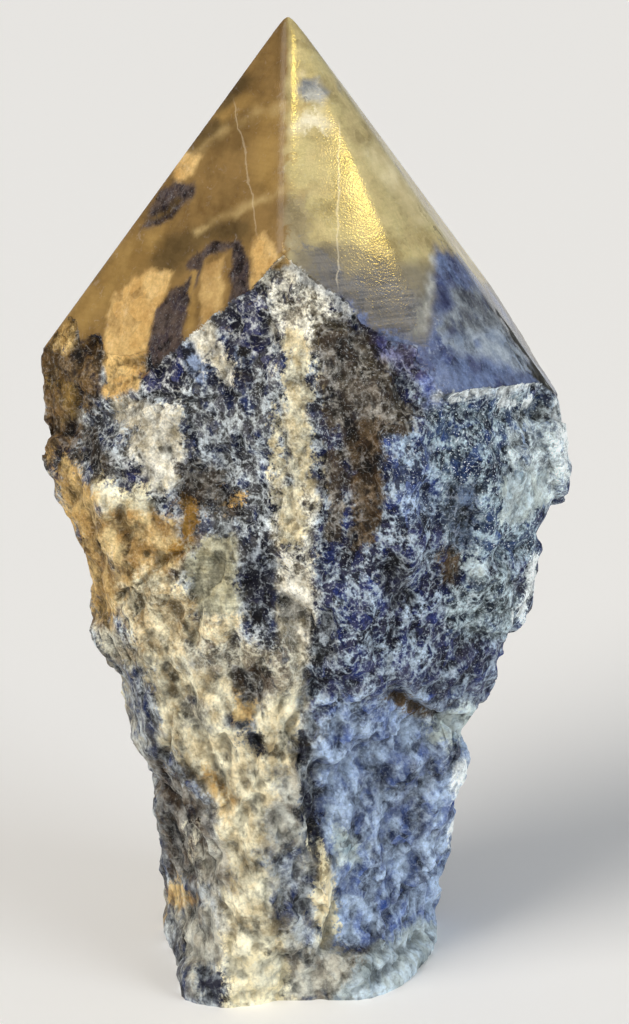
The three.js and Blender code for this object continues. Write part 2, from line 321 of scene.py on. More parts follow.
# How far each point stands out of the ground shape, and which way is out of it.
def outOfPolish(points, planes):
    v = stoneShape
    bearing = np.degrees(np.arctan2(planes[:, 0], -planes[:, 1]))
    group = np.digitize(bearing, v["facetGroups"]) % 3
    depths = points @ planes[:, :3].T - planes[:, 3]
    drop = np.clip((v["tipHeight"] - points[:, 2:3]) / v["roundingReach"], 0, 1)

    def rounded(parts, rounding):
        most, weight = softMost(np.hstack([p[0] for p in parts]),
                                rounding[0] + (rounding[1] - rounding[0]) * drop)
        return most, sum(weight[:, k:k + 1] * parts[k][1] for k in range(len(parts)))

    sides = []
    for k in range(3):
        facets = [(depths[:, i:i + 1], planes[i, :3]) for i in np.nonzero(group == k)[0]]
        sides.append(rounded(facets, v["groupRounding"][k]))
    ahead = rounded(sides[1:], v["goldRidge"])
    out, normal = rounded([sides[0], ahead], v["frontRidge"])
    return out[:, 0], normal / np.linalg.norm(normal, axis=1, keepdims=True)


# Flat chips: each point follows the tilted plane of its nearest seed, with a bevel to the next.
def chippedRelief(points, chips):
    rng = random.Random(chips["seed"])
    size = chips["size"]
    squeeze = np.array([1, 1, 1 / chips["stretch"]])
    scaled = points * squeeze / size
    low, high = np.array(stoneShape["chipSeeds"]) * squeeze / size + [[-0.5], [0.5]]
    count = int(np.prod(high - low))
    seeds = [[rng.uniform(a, b) for a, b in zip(low, high)] for _ in range(count)]
    tilts = np.array([[rng.uniform(-1, 1) for _ in range(3)] for _ in range(count)])
    steps = np.array([rng.uniform(-1, 1) for _ in range(count)])
    tree = kdtree.KDTree(count)
    for index, seed in enumerate(seeds):
        tree.insert(seed, index)
    tree.balance()
    found = [tree.find_n(p, 2) for p in scaled]
    heights = []
    for rank in (0, 1):
        nearest = np.array([f[rank][1] for f in found])
        away = (scaled - np.array(seeds)[nearest]) * size
        tilted = (away * tilts[nearest]).sum(1) * chips["tilt"]
        heights.append(tilted + steps[nearest] * chips["step"])
    gap = np.array([f[1][2] - f[0][2] for f in found])
    own = 0.5 + 0.5 * smoothStep(gap, 0, chips["blend"])
    return heights[0] * own + heights[1] * (1 - own)


def displace(piece, kind, values, group):
    texture = bpy.data.textures.new(piece.name + kind, kind)
    texture.noise_scale = values["size"]
    if kind == "CLOUDS":
        texture.noise_depth = values["depth"]
    modifier = piece.modifiers.new(kind, "DISPLACE")
    modifier.texture = texture
    modifier.texture_coords = "LOCAL"
    modifier.strength = values["strength"]
    modifier.mid_level = values["middle"]
    modifier.vertex_group = group
    bpy.ops.object.modifier_apply(modifier=modifier.name)


def makeStone():
    v = stoneShape
    stone = copyOfNode("sodalite_point")
    planes = polishedPlanes(stone)
    remesh = stone.modifiers.new("fineSurface", "REMESH")
    remesh.mode = "VOXEL"
    remesh.voxel_size = v["voxel"] * mm
    bpy.ops.object.modifier_apply(modifier=remesh.name)
    mesh = stone.data
    points = coordinates(mesh)
    normals = vertexNormals(mesh)
    out, _ = outOfPolish(points, planes)
    rough = smoothStep(-out, *v["roughFrom"])
    across, down = frontPixels(points)
    facing = smoothStep(normals @ eyePlace()[1], *v["towardsFront"])
    away = np.zeros(len(points))
    soft = v["chippedRim"]
    for outline in brokenAway.values():
        inside = smoothStep(insidePatch(across, down, outline), -soft, soft)
        away = np.maximum(away, inside * facing)
    rough = np.maximum(rough, away)
    push = -away * v["chippedDepth"]
    bend = noiseVectors(points, v["formBend"]["size"], v["formBend"]["seed"])
    bend = bend * v["formBend"]["reach"]
    for depth, soft, line in frontForms.values():
        inside = outlineDepth(across + bend[:, 0], down + bend[:, 2], line)
        push += depth * smoothStep(inside, -soft, soft) * facing
    points += normals * (push * smoothStep(points[:, 2], *v["footKept"]))[:, None]
    aboveFoot = smoothStep(points[:, 2], v["footFlat"], v["footSmooth"])
    share = np.clip(rough * (1 - v["polishWaves"]) + v["polishWaves"], 0, 1) * aboveFoot
    relief = sum(chippedRelief(points, chips) for chips in v["chips"])
    points += normals * (relief * share + v["lift"] * (1 - rough) * aboveFoot)[:, None]
    setCoordinates(mesh, points)

    group = stone.vertex_groups.new(name="broken")
    for index, weight in enumerate(share):
        group.add([index], float(weight), "REPLACE")
    displace(stone, "CLOUDS", v["lumps"], group.name)
    displace(stone, "VORONOI", v["pits"], group.name)

    # Grinding: what still stands out of the facets is taken down to them.
    points = coordinates(mesh)
    ground, _ = outOfPolish(points, planes)
    for _ in range(v["grindingRounds"]):
        out, normal = outOfPolish(points, planes)
        points -= normal * np.maximum(out, 0)[:, None]
    points[:, 2] = np.where(points[:, 2] < v["footFlat"], 0, points[:, 2])
    setCoordinates(mesh, points)
    stone.vertex_groups.clear()
    print("stone", len(mesh.vertices), "vertices", len(mesh.polygons), "faces")
    return stone, ground, standingOut(mesh, points)


# How far each point stands out of the smoothed surface: below nought in the hollows.
def standingOut(mesh, points):
    count = len(points)
    ends = np.empty(len(mesh.edges) * 2, np.int32)
    mesh.edges.foreach_get("vertices", ends)
    one, other = ends[::2], ends[1::2]
    neighbours = np.bincount(ends, minlength=count)
    smooth = points.copy()
    for _ in range(stoneShape["hollowRounds"]):
        for axis in range(3):
            total = np.bincount(one, smooth[other, axis], count)
            total += np.bincount(other, smooth[one, axis], count)
            smooth[:, axis] = 0.5 * smooth[:, axis] + 0.5 * total / neighbours
    return ((points - smooth) * vertexNormals(mesh)).sum(1)


# A mineral mix has pale grains and dark grains and a stain, in screen colours; the share of pale
# ones; how much is stained; how strongly crystals and threads show; how many bright specks, which
# are painted glints, there are; and which way its grain lies.
minerals = {
    "blueGrey": ((196, 206, 214), (28, 40, 76), (150, 146, 122), 0.22, 0.2, 0.7, 0.3, "slant"),
    "darkBlueMix": ((170, 188, 206), (24, 36, 84), (104, 98, 88), 0.16, 0.15, 0.65, 0.35, "slant"),
    "deepCrystals": ((228, 232, 232), (14, 24, 74), (214, 210, 190), 0.03, 0.06, 0.5, 0.2, "slant"),
    "navy": ((104, 122, 150), (22, 32, 66), (120, 132, 126), 0.42, 0.2, 0.6, 0.3, "down"),
    "navySparkle": ((180, 202, 214), (28, 50, 98), (110, 130, 128), 0.27, 0.15, 0.6, 1.0, "any"),
    "sparkleBlue": ((160, 182, 206), (26, 46, 104), (180, 194, 196), 0.05, 0.1, 0.5, 0.7, "any"),
    "speckledBlue": ((230, 244, 248), (66, 94, 136), (212, 218, 204), 0.56, 0.2, 0.5, 0.6, "any"),
    "periwinkle": ((184, 206, 236), (48, 70, 128), (160, 166, 150), 0.44, 0.12, 0.6, 0.3, "slant"),
    "shadeBlue": ((172, 190, 214), (42, 58, 98), (120, 118, 108), 0.36, 0.12, 0.6, 0.3, "slant"),
    "striped": ((180, 198, 206), (38, 56, 84), (132, 142, 130), 0.48, 0.2, 1.0, 0.4, "level"),
    "brightBlue": ((124, 140, 188), (40, 54, 112), (120, 130, 150), 0.4, 0.2, 0.4, 0.2, "any"),
    "purpleBlue": ((122, 126, 164), (44, 46, 84), (90, 80, 90), 0.45, 0.2, 0.5, 0.1, "slant"),
    "brownBlack": ((150, 146, 138), (26, 24, 30), (88, 74, 56), 0.14, 0.3, 0.4, 0.25, "any"),
    "brown": ((112, 98, 80), (24, 20, 22), (96, 74, 46), 0.24, 0.35, 0.4, 0.1, "down"),
    "black": ((160, 170, 180), (12, 14, 38), (70, 72, 68), 0.07, 0.15, 0.35, 0.15, "any"),
    "inkCrystals": ((150, 168, 200), (8, 12, 40), (60, 62, 70), 0.03, 0.1, 0.3, 0.1, "slant"),
    "plum": ((124, 104, 76), (34, 28, 32), (136, 104, 50), 0.22, 0.3, 0.35, 0.1, "any"),
    "whiteSpeckle": ((255, 252, 236), (22, 30, 62), (222, 206, 160), 0.56, 0.2, 0.6, 0.3, "any"),
    "whiteVein": ((255, 253, 240), (118, 116, 108), (228, 208, 160), 0.6, 0.25, 0.25, 0.2, "down"),
    "creamVein": ((248, 243, 214), (112, 108, 92), (208, 182, 126), 0.54, 0.3, 0.25, 0.2, "down"),
    "cream": ((250, 242, 208), (116, 106, 84), (208, 174, 116), 0.56, 0.3, 0.25, 0.2, "slant"),
    "creamFold": ((248, 243, 214), (100, 98, 88), (204, 178, 124), 0.53, 0.28, 0.25, 0.2, "slant"),
    "creamBlue": ((208, 206, 188), (44, 52, 70), (188, 168, 128), 0.56, 0.22, 0.6, 0.2, "slant"),
    "goldenCream": ((228, 204, 150), (118, 94, 58), (192, 148, 82), 0.54, 0.3, 0.15, 0.1, "down"),
    "golden": ((230, 198, 134), (118, 94, 58), (168, 128, 66), 0.66, 0.3, 0.2, 0.1, "down"),
    "amber": ((160, 126, 64), (60, 44, 24), (164, 118, 42), 0.52, 0.3, 0.2, 0.1, "down"),
    "ochre": ((140, 116, 66), (66, 54, 38), (150, 116, 54), 0.5, 0.3, 0.3, 0.1, "down"),
    "oliveGrey": ((208, 206, 180), (132, 130, 108), (180, 164, 120), 0.6, 0.2, 0.15, 0.1, "level"),
    "smoothGrey": ((222, 238, 244), (134, 154, 164), (204, 208, 190), 0.6, 0.3, 0.2, 0.1, "slant"),
    "greyGreen": ((202, 218, 228), (108, 124, 138), (160, 166, 152), 0.56, 0.3, 0.3, 0.1, "slant"),
    "greySpeckle": ((202, 203, 192), (56, 62, 72), (168, 152, 122), 0.52, 0.22, 0.5, 0.2, "any"),
    "paleCrust": ((250, 255, 255), (178, 194, 202), (230, 234, 226), 0.84, 0.2, 0.4, 0.5, "any"),
    "lipWhite": ((252, 252, 244), (150, 158, 168), (214, 218, 210), 0.74, 0.2, 0.25, 0.2, "any"),
    "crustMix": ((250, 255, 255), (122, 142, 162), (226, 230, 220), 0.84, 0.2, 0.5, 0.5, "any"),
    "creamCrackle": ((242, 208, 142), (150, 112, 62), (214, 172, 100), 0.66, 0.3, 0.15, 0.0, "any"),
    "white": ((255, 252, 226), (176, 164, 130), (248, 228, 172), 0.84, 0.3, 0.2, 0.1, "down"),
    "darkSide": ((150, 150, 146), (14, 14, 28), (120, 98, 64), 0.36, 0.2, 0.6, 0.2, "down"),
    # the amber of the left facets: partly the stone's own colour, partly painted warm light
    "amberGlass": ((138, 110, 66), (106, 82, 46), (150, 124, 80), 0.5, 0.1, 0.0, 0.0, "any"),
    "smokeGlass": ((104, 84, 52), (74, 58, 34), (120, 100, 60), 0.5, 0.1, 0.0, 0.0, "any"),
    "tanGlass": ((198, 184, 132), (160, 144, 98), (206, 186, 140), 0.5, 0.2, 0.1, 0.0, "any"),
    "greyGlass": ((138, 130, 110), (108, 102, 90), (150, 140, 110), 0.5, 0.1, 0.0, 0.0, "any"),
    "blueGreyGlass": ((116, 116, 118), (88, 90, 96), (124, 114, 94), 0.5, 0.2, 0.1, 0.0, "level"),
    "mottleGlass": ((148, 156, 162), (52, 58, 80), (96, 94, 84), 0.5, 0.2, 0.2, 0.1, "any"),
    "blueGlass": ((118, 136, 174), (46, 54, 92), (100, 102, 116), 0.5, 0.2, 0.2, 0.1, "any"),
    "navyGlass": ((90, 100, 134), (36, 42, 74), (50, 50, 70), 0.5, 0.2, 0.2, 0.0, "any"),
    "plumGlass": ((86, 76, 74), (40, 34, 42), (104, 86, 66), 0.44, 0.2, 0.4, 0.1, "any"),
    "creamGlass": ((226, 192, 130), (164, 126, 72), (200, 160, 94), 0.66, 0.2, 0.14, 0.0, "down"),
    "ochreGlass": ((160, 130, 76), (132, 104, 58), (170, 140, 90), 0.5, 0.1, 0.0, 0.0, "any"),
    "honeyGlass": ((204, 172, 114), (160, 128, 78), (140, 104, 60), 0.5, 0.2, 0.1, 0.0, "down"),
    "bandGlass": ((142, 142, 134), (104, 106, 106), (130, 124, 104), 0.5, 0.1, 0.0, 0.0, "any"),
    "whiteGlass": ((214, 212, 198), (136, 140, 146), (190, 190, 180), 0.55, 0.1, 0.1, 0.1, "any"),
    "paleGlass": ((178, 188, 198), (104, 118, 140), (130, 140, 150), 0.55, 0.2, 0.2, 0.1, "any"),
    "ridgeGlass": ((168, 156, 124), (140, 126, 96), (150, 140, 110), 0.5, 0.1, 0.1, 0.0, "any"),
    "paleTan": ((232, 218, 174), (204, 188, 142), (190, 170, 120), 0.5, 0.1, 0.0, 0.0, "any"),
    "fleckGlass": ((242, 234, 206), (220, 208, 172), (190, 170, 120), 0.6, 0.1, 0.1, 0.0, "any"),
    # painted reflection: a dark line along the right edge of the polish
    "edgeGlass": ((64, 64, 58), (40, 42, 44), (60, 58, 50), 0.5, 0.1, 1.0, 0.0, "any"),
    "cloud": ((186, 162, 112), (162, 136, 88), (190, 170, 120), 0.5, 0.1, 0.0, 0.0, "any"),
}

# How much of a grain runs down and how much runs level; the rest slants down to the right.
grainLies = {"down": (1, 0), "level": (0, 1), "slant": (0, 0), "any": (0.34, 0.33)}

# Where they lie in the front view, in its pixels: name, mineral, how soft the outline is, and the
# patch or band itself. What comes later lies on top.
brokenZones = {
    "rightHalf": ("darkBlueMix", 14, [(312, 318), (395, 318), (445, 385), (575, 385), (580, 500),
        (545, 600), (505, 700), (400, 715), (305, 725), (305, 600), (318, 450)]),
    "crystalField": ("blueGrey", 10, [(180, 388), (285, 345), (285, 640), (240, 640), (225, 560),
        (184, 500)]),
    "peakSpeckle": ("whiteSpeckle", 6, [(283, 245), (300, 262), (334, 288), (340, 316), (326, 342),
        (312, 352), (284, 350), (268, 330), (254, 296), (256, 272)]),
    "peakLip": ("lipWhite", 1.2, [(284, 263, 5), (298, 271, 4.5), (318, 288, 4.5), (338, 303, 4),
        (354, 314, 2.5)]),
    "peakTip": ("creamCrackle", 1.2, [(274, 268, 3), (284, 260, 5)]),
    "crystalsUp": ("deepCrystals", 5, [(212, 318), (240, 296), (258, 286), (270, 304), (268, 336),
        (282, 352), (278, 384), (250, 352), (228, 336)]),
    "crystalsBlack": ("inkCrystals", 1.2, [(176, 348), (206, 336), (250, 348), (254, 386), (226, 390),
        (200, 386), (184, 374)]),
    "crystalsLeft": ("deepCrystals", 2, [(138, 378), (158, 356), (180, 352), (184, 390), (160, 396),
        (146, 393)]),
    "diagonalVein": ("whiteVein", 4, [(192, 320, 8), (204, 334, 13), (214, 356, 12), (222, 372, 9),
        (229, 386, 4)]),
    "brownTop": ("brownBlack", 8, [(312, 322), (350, 314), (378, 336), (400, 384), (420, 428),
        (428, 468), (400, 480), (386, 452), (346, 444), (322, 420), (316, 370)]),
    "brownStreak": ("brown", 7, [(368, 436, 19), (366, 486, 21), (360, 542, 12)]),
    "purpleShoulder": ("purpleBlue", 6, [(366, 322), (400, 334), (424, 348), (436, 366), (424, 388),
        (398, 374), (378, 350)]),
    "leftOfStreak": ("brownBlack", 6, [(320, 452), (346, 450), (346, 540), (324, 540)]),
    "sparkleEdge": ("sparkleBlue", 8, [(386, 436), (424, 430), (440, 470), (438, 520), (404, 524),
        (388, 490)]),
    "blueLump": ("brightBlue", 5, [(416, 382), (434, 376), (447, 394), (440, 413), (424, 410)]),
    "navyFace": ("navySparkle", 7, [(428, 410), (450, 398), (536, 392), (560, 412), (552, 470),
        (536, 556), (474, 566), (448, 548), (436, 470)]),
    "navyColumn": ("navy", 5, [(446, 480), (474, 484), (476, 548), (450, 552)]),
    "rightSpeckle": ("speckledBlue", 8, [(502, 426), (528, 396), (560, 404), (574, 440), (572, 480),
        (545, 512), (506, 476)]),
    "smoothPatch": ("smoothGrey", 5, [(496, 486), (516, 468), (546, 470), (548, 500), (528, 522),
        (502, 524)]),
    "crust": ("crustMix", 4, [(438, 396, 5), (467, 392, 8), (499, 390, 7), (514, 383, 7),
        (548, 380, 6)]),
    "crustLow": ("paleCrust", 4, [(500, 403, 4), (532, 402, 4)]),
    "rightEdgePale": ("paleCrust", 7, [(556, 404, 3), (566, 440, 5), (566, 470, 5)]),
    "greyLump": ("periwinkle", 5, [(404, 492), (420, 488), (424, 510), (408, 516)]),
    "darkLeaf": ("black", 6, [(386, 548), (406, 560), (410, 604), (392, 614), (380, 582)]),
    "brownPatch": ("brown", 5, [(440, 550), (460, 552), (458, 590), (443, 584)]),
    "palePatch": ("smoothGrey", 4, [(464, 556), (490, 560), (488, 580), (466, 578)]),
    "stripedFace": ("striped", 6, [(462, 584), (512, 560), (520, 610), (506, 640), (446, 640),
        (446, 604)]),
    "rightRim": ("paleCrust", 4, [(536, 556, 3), (530, 590, 5), (519, 616, 6)]),
    "blueBelow": ("darkBlueMix", 10, [(306, 640), (440, 632), (508, 640), (496, 700), (400, 690),
        (318, 708)]),
    "centralVein": ("creamVein", 4, [(296, 340, 11), (297, 360, 14), (297, 400, 15), (298, 430, 13)]),
    "veinRight": ("creamVein", 4, [(300, 430, 12), (302, 470, 11), (302, 500, 16)]),
    "veinLeft": ("creamVein", 4, [(272, 408, 2), (275, 440, 5), (277, 480, 6), (284, 506, 8)]),
    "veinLow": ("whiteSpeckle", 5, [(294, 504, 22), (296, 545, 20), (296, 570, 16), (298, 600, 19),
        (299, 640, 17), (300, 662, 8)]),
    "veinLowCream": ("creamVein", 4, [(292, 500, 15), (293, 532, 16)]),
    "veinFootCream": ("whiteVein", 5, [(296, 590, 16), (297, 632, 17)]),
    "veinShade": ("black", 4, [(312, 610), (334, 606), (340, 660), (314, 668)]),
    "whiteLeft": ("whiteVein", 6, [(108, 396), (130, 402), (182, 402), (184, 474), (168, 500),
        (146, 486), (126, 452), (112, 424)]),
    "whiteLeftBlue": ("blueGrey", 5, [(92, 402), (112, 396), (118, 420), (134, 430), (130, 446),
        (108, 440), (96, 430)]),
    "sparkleDark": ("brownBlack", 6, [(82, 424), (98, 430), (112, 460), (114, 484), (94, 488),
        (80, 460)]),
    "blueSpots": ("deepCrystals", 4, [(114, 464), (134, 456), (148, 478), (144, 496), (124, 490)]),
    "lumpWhite": ("white", 4, [(94, 484), (112, 478), (122, 500), (116, 518), (100, 512)]),
    "lumpWhiteRight": ("white", 4, [(118, 490), (150, 486), (153, 522), (126, 532)]),
    "darkPocket": ("brownBlack", 6, [(174, 464), (200, 462), (222, 480), (246, 520), (222, 512),
        (180, 506)]),
    "leftPlum": ("plum", 7, [(16, 330), (60, 336), (102, 330), (108, 372), (102, 402), (76, 406),
        (16, 406)]),
    "leftOchre": ("ochre", 6, [(54, 372), (74, 378), (84, 404), (76, 430), (56, 424)]),
    "plumLumps": ("plum", 7, [(16, 398), (54, 404), (78, 424), (76, 458), (50, 466), (16, 444)]),
    "shell": ("golden", 3, [(50, 320), (64, 310), (79, 320), (78, 346), (66, 354), (50, 350)]),
    "creamFoot": ("creamCrackle", 3, [(103, 344), (152, 344), (148, 374), (140, 390), (120, 396),
        (104, 402), (102, 376)]),
    # golden on the left flank: partly the stone's own colour, partly painted warm light
    "leftGolden": ("golden", 8, [(48, 452), (76, 462), (96, 500), (112, 560), (124, 600), (112, 640),
        (92, 620), (76, 540), (58, 490)]),
    "goldenField": ("goldenCream", 10, [(96, 508), (150, 510), (180, 520), (190, 560), (150, 600),
        (124, 620), (104, 560)]),
    "amberRim": ("amber", 6, [(186, 500, 6), (194, 520, 9), (188, 545, 9), (164, 562, 4)]),
    "olive": ("oliveGrey", 8, [(196, 540), (238, 536), (244, 590), (232, 622), (196, 616), (184, 580)]),
    "darkByVein": ("black", 7, [(244, 544), (270, 548), (274, 640), (246, 620), (238, 580)]),
    "creamBlocks": ("cream", 8, [(120, 588), (160, 566), (200, 612), (240, 618), (236, 650), (190, 664),
        (140, 668), (124, 630)]),
    "leftEdgeDark": ("creamBlue", 8, [(96, 626), (122, 640), (160, 740), (140, 752), (116, 700),
        (98, 660)]),
    "creamField": ("creamFold", 12, [(124, 656), (190, 664), (300, 652), (304, 700), (298, 760),
        (300, 800), (276, 880), (290, 960), (290, 1012), (226, 1012), (226, 960), (214, 870),
        (212, 800), (160, 748), (132, 700)]),
    "fieldBlue": ("creamBlue", 9, [(186, 640), (300, 640), (296, 690), (262, 704), (236, 680),
        (190, 672)]),
    "fieldDarkA": ("darkSide", 6, [(230, 668), (258, 666), (270, 690), (262, 708), (236, 700)]),
    "fieldDarkB": ("black", 5, [(226, 718), (250, 716), (264, 738), (262, 754), (240, 742)]),
    "fieldDarkC": ("creamBlue", 6, [(176, 696), (206, 700), (208, 728), (184, 726)]),
    "edgeBlue": ("blueGrey", 6, [(120, 664), (144, 668), (156, 700), (160, 740), (142, 744),
        (128, 704)]),
    "tanStain": ("goldenCream", 6, [(234, 702), (250, 704), (248, 722), (236, 720)]),
    "tanFold": ("goldenCream", 6, [(206, 770, 5), (222, 800, 7), (226, 820, 5)]),
    "creamMid": ("creamFold", 10, [(226, 812), (276, 810), (276, 860), (226, 864)]),
    "leftDark": ("darkSide", 7, [(150, 748), (186, 764), (212, 800), (226, 856), (208, 880), (170, 880),
        (156, 820)]),
    "lavenderRidge": ("blueGrey", 4, [(152, 746, 5), (182, 774, 5), (206, 800, 3)]),
    "leftBlueLow": ("greySpeckle", 7, [(196, 842), (226, 850), (232, 890), (200, 886)]),
    "creamSliver": ("creamBlue", 3, [(192, 826, 3), (194, 858, 3)]),
    "orangeSpot": ("goldenCream", 5, [(164, 884), (176, 884), (204, 900), (178, 912), (166, 908)]),
    "footBlue": ("greySpeckle", 8, [(174, 908), (210, 900), (228, 930), (232, 980), (200, 1006),
        (186, 980)]),
    "footBlack": ("black", 6, [(196, 966), (226, 972), (234, 1006), (196, 1006)]),
    "greyMid": ("greySpeckle", 8, [(272, 770), (306, 770), (312, 850), (318, 920), (280, 920),
        (262, 860)]),
    "greyDarkMid": ("blueGrey", 8, [(264, 852), (296, 848), (316, 880), (312, 918), (280, 916)]),
    "footWhite": ("white", 7, [(226, 936), (256, 950), (290, 968), (300, 1012), (228, 1012)]),
    "lowerFace": ("periwinkle", 8, [(312, 712), (356, 702), (396, 688), (470, 712), (476, 740),
        (470, 860), (450, 940), (380, 952), (316, 950), (330, 900), (318, 820)]),
    "lowerShade": ("shadeBlue", 8, [(360, 770), (376, 760), (382, 860), (366, 870)]),
    "lowerGrey": ("smoothGrey", 8, [(330, 826), (356, 838), (358, 860), (336, 866)]),
    "lowerShadeB": ("shadeBlue", 9, [(396, 780), (428, 766), (434, 832), (402, 836)]),
    "lowerEdgeDark": ("shadeBlue", 6, [(440, 742), (462, 740), (462, 770), (444, 772)]),
    # painted shadow: a brown band under the ledge of the lower face
    "underLedge": ("brown", 5, [(390, 692, 3), (410, 704, 8), (432, 714, 6)]),
    "waistPale": ("smoothGrey", 6, [(426, 716), (470, 702), (484, 716), (458, 742), (430, 742)]),
    "lowerRightEdge": ("paleCrust", 8, [(464, 766, 6), (460, 830, 6), (444, 930, 6)]),
    # painted shade: black laid along the crease
    "crease": ("black", 4, [(306, 736, 5), (304, 790, 5), (314, 840, 6)]),
    "creamStreak": ("creamVein", 4, [(318, 848, 5), (326, 880, 10), (328, 920, 11), (322, 946, 6)]),
    "streakTop": ("white", 4, [(318, 842, 4), (322, 868, 4)]),
    "footBand": ("greySpeckle", 6, [(286, 944), (400, 950), (390, 1004), (286, 1004)]),
    "footGreen": ("greyGreen", 7, [(356, 962), (420, 920), (446, 930), (440, 970), (390, 1004),
        (330, 1004)]),
    "footRim": ("greyGreen", 3, [(432, 924, 3), (396, 962, 3), (342, 990, 2)]),
    "goldFleck": ("creamCrackle", 3, [(228, 496), (242, 494), (242, 505), (230, 505)]),
}

polishedZones = {
    "rightBody": ("greyGlass", 14, [(286, 250), (330, 238), (440, 236), (640, 420), (640, 460),
        (286, 460)]),
    "rightTan": ("tanGlass", 12, [(289, 0), (430, 130), (520, 270), (400, 262), (340, 236), (286, 240),
        (286, 100)]),
    "tanBrown": ("tanGlass", 14, [(288, 106), (330, 116), (352, 190), (344, 236), (300, 196)]),
    "ridgeGrey": ("ridgeGlass", 9, [(268, 200), (286, 190), (304, 196), (312, 250), (290, 258),
        (268, 236)]),
    "lowerBlueGrey": ("blueGreyGlass", 12, [(322, 284), (380, 270), (430, 300), (440, 420), (380, 400),
        (345, 320)]),
    "lipPurple": ("blueGlass", 7, [(336, 296), (352, 302), (372, 326), (420, 340), (440, 364),
        (440, 420), (380, 400)]),
    "darkByLip": ("blueGreyGlass", 7, [(300, 244), (330, 254), (350, 282), (344, 300), (320, 286)]),
    "rightBlue": ("blueGlass", 8, [(434, 252), (470, 258), (540, 340), (570, 420), (430, 430),
        (420, 350), (436, 320)]),
    "rightMottle": ("mottleGlass", 8, [(458, 276), (500, 300), (520, 340), (470, 336), (440, 334),
        (444, 314)]),
    "rightNavy": ("navyGlass", 5, [(438, 284), (448, 288), (454, 304), (446, 316), (438, 306)]),
    "rightNavyTop": ("blueGlass", 5, [(436, 258), (458, 258), (474, 276), (470, 290), (442, 278)]),
    "rightPale": ("paleGlass", 6, [(440, 344), (466, 332), (500, 326), (526, 352), (540, 376),
        (500, 362), (470, 356)]),
    "palePocket": ("blueGlass", 3, [(472, 338), (480, 336), (482, 348), (474, 350)]),
    "whiteBand": ("whiteGlass", 5, [(432, 256, 2), (429, 300, 3), (422, 330, 2)]),
    "whiteBandSoft": ("bandGlass", 9, [(424, 300, 4), (414, 336, 5)]),
    "tipGrey": ("whiteGlass", 5, [(300, 84), (316, 80), (332, 92), (324, 104), (304, 102)]),
    "tipBlue": ("mottleGlass", 4, [(302, 80), (318, 78), (314, 90), (304, 92)]),
    "tipPale": ("paleTan", 4, [(298, 66), (308, 66), (306, 76), (298, 76)]),
    "whiteFleck": ("fleckGlass", 10, [(298, 127, 3), (307, 119, 8), (317, 120, 8), (330, 127, 3)]),
    # painted reflection: a dark line along the right edge of the polish
    "edgeLine": ("edgeGlass", 3, [(346, 78, 1), (368, 110, 3), (396, 150, 5), (425, 190, 6),
        (454, 230, 6), (482, 272, 7), (507, 312, 8), (532, 352, 9), (552, 384, 10)]),
    "edgeStreaks": ("mottleGlass", 6, [(340, 80, 3), (358, 98, 5), (374, 118, 2)]),
    "edgePale": ("paleTan", 12, [(372, 150, 6), (400, 190, 9), (420, 220, 6)]),
    # the left facets: amber, partly the stone's own colour and partly painted warm light
    "leftAmber": ("amberGlass", 3, [(289, 0), (286, 120), (284, 262), (230, 330), (140, 440), (0, 440),
        (0, 300)]),
    "leftMid": ("ochreGlass", 14, [(256, 104), (284, 104), (284, 196), (262, 206), (252, 160)]),
    "leftGlow": ("ochreGlass", 12, [(120, 246), (170, 220), (170, 250), (130, 280), (90, 330),
        (60, 340), (60, 310)]),
    "leftSmoke": ("smokeGlass", 9, [(240, 66), (254, 80), (240, 100), (216, 140), (186, 158),
        (196, 126)]),
    "leftFlecks": ("ochreGlass", 4, [(210, 114), (228, 104), (240, 92), (258, 96), (246, 108),
        (236, 118), (222, 120)]),
    # amber here is partly painted warm light
    "ridgeSmoke": ("amberGlass", 10, [(258, 200), (284, 192), (284, 236), (270, 240), (260, 226)]),
    "smokeLow": ("smokeGlass", 8, [(166, 236), (206, 222), (252, 218), (250, 240), (206, 246),
        (178, 270), (150, 286), (156, 256)]),
    "arcHigh": ("cloud", 8, [(190, 156, 0.5), (224, 130, 1.5), (258, 112, 1.5), (284, 104, 2.5),
        (300, 108, 1)]),
    "arcLow": ("cloud", 7, [(210, 222, 0.5), (238, 210, 1.5), (264, 198, 2), (286, 188, 2.5),
        (300, 192, 1)]),
    "arcSpot": ("cloud", 4, [(195, 232, 2), (204, 226, 2.5), (212, 226, 1)]),
    "edgeCream": ("creamGlass", 2, [(172, 166), (184, 154), (200, 158), (192, 176), (178, 184)]),
    "edgePlum": ("plumGlass", 3, [(156, 192), (174, 180), (192, 184), (186, 204), (168, 222),
        (140, 228)]),
    "edgePink": ("smokeGlass", 3, [(148, 218, 3), (164, 214, 4), (178, 202, 2), (166, 206, 2)]),
    "creamPatch": ("creamGlass", 2, [(116, 290), (136, 278), (150, 268), (172, 272), (162, 300),
        (152, 330), (147, 356), (144, 380), (140, 424), (98, 424), (104, 360), (104, 330)]),
    "archLeft": ("plumGlass", 1.5, [(158, 372, 9), (166, 350, 16), (168, 326, 16), (178, 300, 12),
        (190, 284, 5), (198, 266, 4)]),
    "arch": ("plumGlass", 2, [(190, 264, 3), (212, 250, 5), (234, 246, 5), (242, 266, 9),
        (243, 290, 10), (234, 306, 6)]),
    "archInside": ("honeyGlass", 2, [(206, 264), (224, 258), (226, 280), (220, 318), (204, 334),
        (198, 300)]),
    "archRim": ("ochreGlass", 1.5, [(194, 272, 1.5), (190, 292, 2), (193, 314, 3.5), (190, 330, 2)]),
    "peakCream": ("creamGlass", 2.5, [(254, 240), (264, 234), (272, 246), (278, 262), (262, 282),
        (252, 292), (250, 264)]),
    "leftPlumRim": ("plumGlass", 2, [(36, 346), (60, 344), (104, 338), (104, 424), (36, 424)]),
    "leftRim": ("ochreGlass", 3, [(44, 322), (62, 310), (80, 312), (78, 344), (44, 346)]),
}

